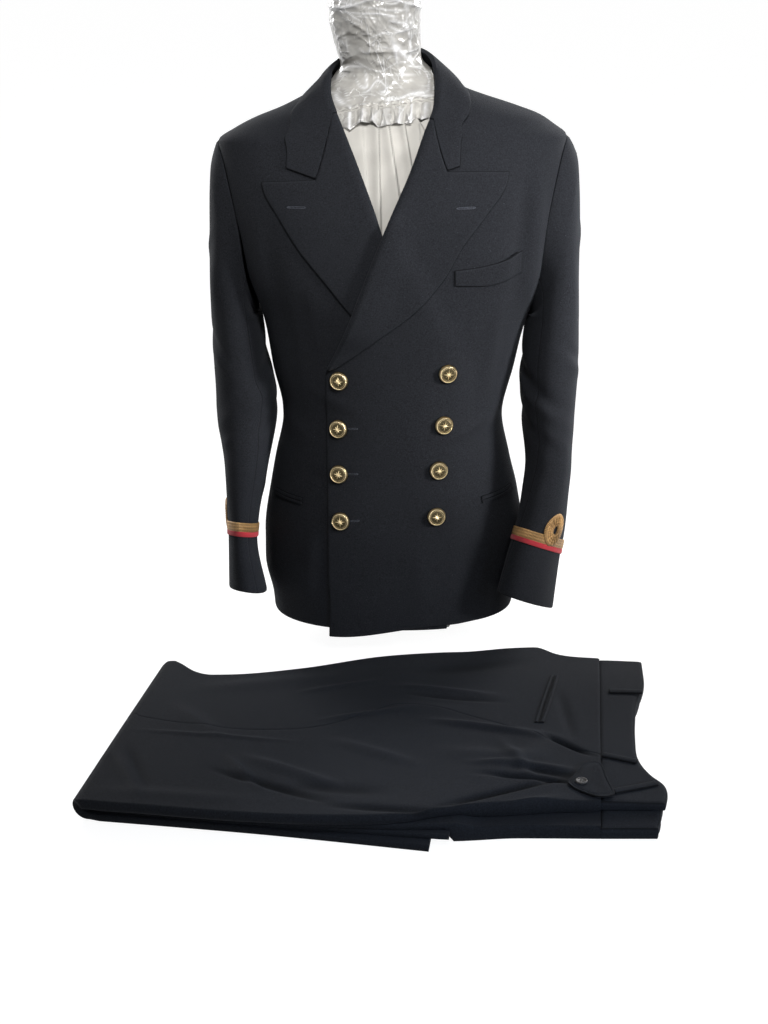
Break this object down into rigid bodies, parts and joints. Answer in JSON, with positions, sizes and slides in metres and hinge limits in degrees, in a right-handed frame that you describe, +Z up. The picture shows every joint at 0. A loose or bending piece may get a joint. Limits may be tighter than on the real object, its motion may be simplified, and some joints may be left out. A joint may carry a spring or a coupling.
{
  "type": "naval service dress uniform on a dress form",
  "caption": "Double-breasted navy uniform jacket with peaked lapels, gilt buttons and gold cuff lace, worn by a limbless dress form, with its trousers folded flat in front.",
  "frame": {"origin": "on the surface, at the middle of the dress form's foot", "axes": "+Z up, +X to the wearer's left, +Y to the wearer's back"},
  "size_m": [0.674, 0.7527, 0.8784],
  "materials": {
    "navy_cloth": "matt worsted wool, very dark navy",
    "gold_lace": "aged gold wire lace",
    "red_cloth": "matt red wool cloth",
    "gilt_brass": "aged gilt, softly polished",
    "form_cover": "smooth pale form cover",
    "dark_horn": "dark horn, satin"
  },
  "bodies": {
    "root": {"dress_form": "form_cover", "jacket_front_left": "navy_cloth", "jacket_front_right": "navy_cloth", "jacket_back_left": "navy_cloth", "jacket_back_right": "navy_cloth", "lapel_left": "navy_cloth", "lapel_right": "navy_cloth", "collar": "navy_cloth", "sleeve_top_left": "navy_cloth", "sleeve_under_left": "navy_cloth", "sleeve_top_right": "navy_cloth", "sleeve_under_right": "navy_cloth", "breast_welt": "navy_cloth", "hip_jet_left_upper": "navy_cloth", "hip_jet_left_lower": "navy_cloth", "hip_jet_right_upper": "navy_cloth", "hip_jet_right_lower": "navy_cloth", "gold_lace_left": "gold_lace", "gold_lace_right": "gold_lace", "lace_curl_left": "gold_lace", "lace_curl_right": "gold_lace", "red_band_left": "red_cloth", "red_band_right": "red_cloth", "button_1": "gilt_brass", "button_2": "gilt_brass", "button_3": "gilt_brass", "button_4": "gilt_brass", "button_5": "gilt_brass", "button_6": "gilt_brass", "button_7": "gilt_brass", "button_8": "gilt_brass", "trousers_right_front": "navy_cloth", "trousers_right_back": "navy_cloth", "trousers_left_leg": "navy_cloth", "waistband_right": "navy_cloth", "waistband_left": "navy_cloth", "side_tab": "navy_cloth", "belt_loop_1": "navy_cloth", "belt_loop_2": "navy_cloth", "belt_loop_3": "navy_cloth", "hip_pocket_jet_upper": "navy_cloth", "hip_pocket_jet_lower": "navy_cloth", "tab_button": "dark_horn"}
  },
  "joints": []
}
